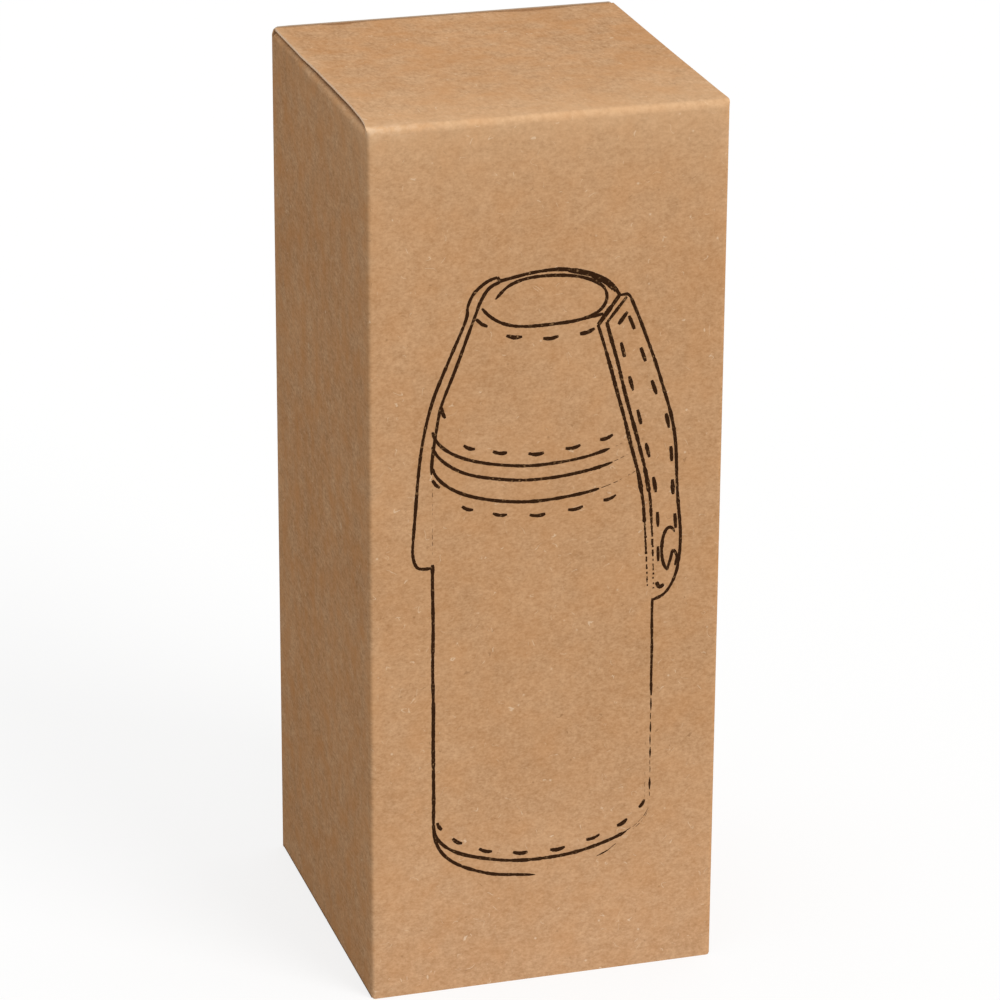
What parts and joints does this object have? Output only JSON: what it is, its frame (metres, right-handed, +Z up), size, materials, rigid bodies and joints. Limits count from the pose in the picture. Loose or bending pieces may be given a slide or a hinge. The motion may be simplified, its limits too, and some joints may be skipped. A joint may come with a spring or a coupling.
{
  "type": "boxed water bottle",
  "caption": "Closed kraft gift carton with a folding tuck lid, holding a leather-sleeved vacuum bottle with a drinking-cup cap and a pour-button stopper.",
  "frame": {"origin": "centre of the carton's underside", "axes": "+Z up along the carton's height, +X to the right of the printed front, -Y out of the front"},
  "size_m": [0.09, 0.092, 0.228],
  "materials": {
    "kraft_board": "uncoated brown kraft board",
    "brown_leather": "smooth brown leather",
    "steel": "brushed stainless steel",
    "snap_metal": "polished snap metal",
    "dark_plastic": "matt dark plastic",
    "button_plastic": "matt grey plastic",
    "silicone": "translucent grey silicone",
    "spring_steel": "bright spring wire"
  },
  "bodies": {
    "carton": {"front_panel": "kraft_board", "back_panel": "kraft_board", "left_panel": "kraft_board", "right_panel": "kraft_board", "glue_flap": "kraft_board", "bottom_front_flap": "kraft_board", "bottom_back_flap": "kraft_board", "bottom_left_flap": "kraft_board", "bottom_right_flap": "kraft_board"},
    "lid": {"lid_panel": "kraft_board"},
    "tuck": {"tuck_flap": "kraft_board"},
    "dust_left": {"dust_flap_left": "kraft_board"},
    "dust_right": {"dust_flap_right": "kraft_board"},
    "bottle": {"outer_shell": "steel", "inner_liner": "steel", "base_cap": "dark_plastic", "base_pad": "silicone", "body_sleeve": "brown_leather", "collar_band": "steel", "snap_stud_left": "snap_metal", "snap_stud_right": "snap_metal"},
    "cup": {"cup_shell": "steel", "cup_rim": "steel", "cup_band": "steel", "cup_wrap": "brown_leather"},
    "strap_left": {"tab_left": "brown_leather", "snap_cap_left": "snap_metal", "snap_socket_left": "snap_metal"},
    "strap_right": {"tab_right": "brown_leather", "snap_cap_right": "snap_metal", "snap_socket_right": "snap_metal"},
    "gasket": {"stopper_gasket": "silicone"},
    "stopper": {"stopper_body": "dark_plastic", "stopper_top_cap": "dark_plastic"},
    "button": {"pour_button": "button_plastic", "valve_stem": "button_plastic", "valve_seal": "silicone", "button_spring": "spring_steel"}
  },
  "joints": [
    {"name": "bottle_lift", "type": "slide", "parent": "carton", "child": "bottle", "axis": [0, 0, 1], "range_m": [0, 0.226]},
    {"name": "lid_fold", "type": "hinge", "parent": "carton", "child": "lid", "pos_m": [0, -0.046, 0.228], "axis": [1, 0, 0], "range_deg": [0, 220.2]},
    {"name": "tuck_fold", "type": "hinge", "parent": "lid", "child": "tuck", "pos_m": [0, 0.0435, 0.228], "axis": [1, 0, 0], "range_deg": [0, 17.7]},
    {"name": "dust_left_fold", "type": "hinge", "parent": "carton", "child": "dust_left", "pos_m": [-0.045, 0, 0.227], "axis": [0, -1, 0], "range_deg": [0, 220.2]},
    {"name": "dust_right_fold", "type": "hinge", "parent": "carton", "child": "dust_right", "pos_m": [0.045, 0, 0.227], "axis": [0, 1, 0], "range_deg": [0, 220.2]},
    {"name": "cup_lift", "type": "slide", "parent": "bottle", "child": "cup", "axis": [0, 0, 1], "range_m": [0, 0.03]},
    {"name": "strap_left_swing", "type": "hinge", "parent": "cup", "child": "strap_left", "pos_m": [-0.01676, 0.01676, 0.192], "axis": [0.7071, 0.7071, 0], "range_deg": [0, 5]},
    {"name": "strap_right_swing", "type": "hinge", "parent": "cup", "child": "strap_right", "pos_m": [0.01676, -0.01676, 0.192], "axis": [-0.7071, -0.7071, 0], "range_deg": [0, 5]},
    {"name": "stopper_rise", "type": "slide", "parent": "bottle", "child": "gasket", "axis": [0, 0, 1], "range_m": [0, 0.006]},
    {"name": "stopper_turn", "type": "hinge", "parent": "gasket", "child": "stopper", "pos_m": [0, 0, 0.166], "axis": [0, 0, 1], "range_deg": [0, 360]},
    {"name": "button_press", "type": "slide", "parent": "stopper", "child": "button", "axis": [0, 0, -1], "range_m": [0, 0.0025], "stiffness_N_per_m": 500, "springref_m": -0.001, "deforming": ["button_spring"]}
  ],
  "couplings": [
    {"joint": "lid_fold", "follows": "bottle_lift", "rad_per_m": 17},
    {"joint": "dust_left_fold", "follows": "bottle_lift", "rad_per_m": 17},
    {"joint": "dust_right_fold", "follows": "bottle_lift", "rad_per_m": 17},
    {"joint": "tuck_fold", "follows": "bottle_lift", "rad_per_m": 1.36},
    {"joint": "stopper_turn", "follows": "stopper_rise", "rad_per_m": 1047.2}
  ]
}
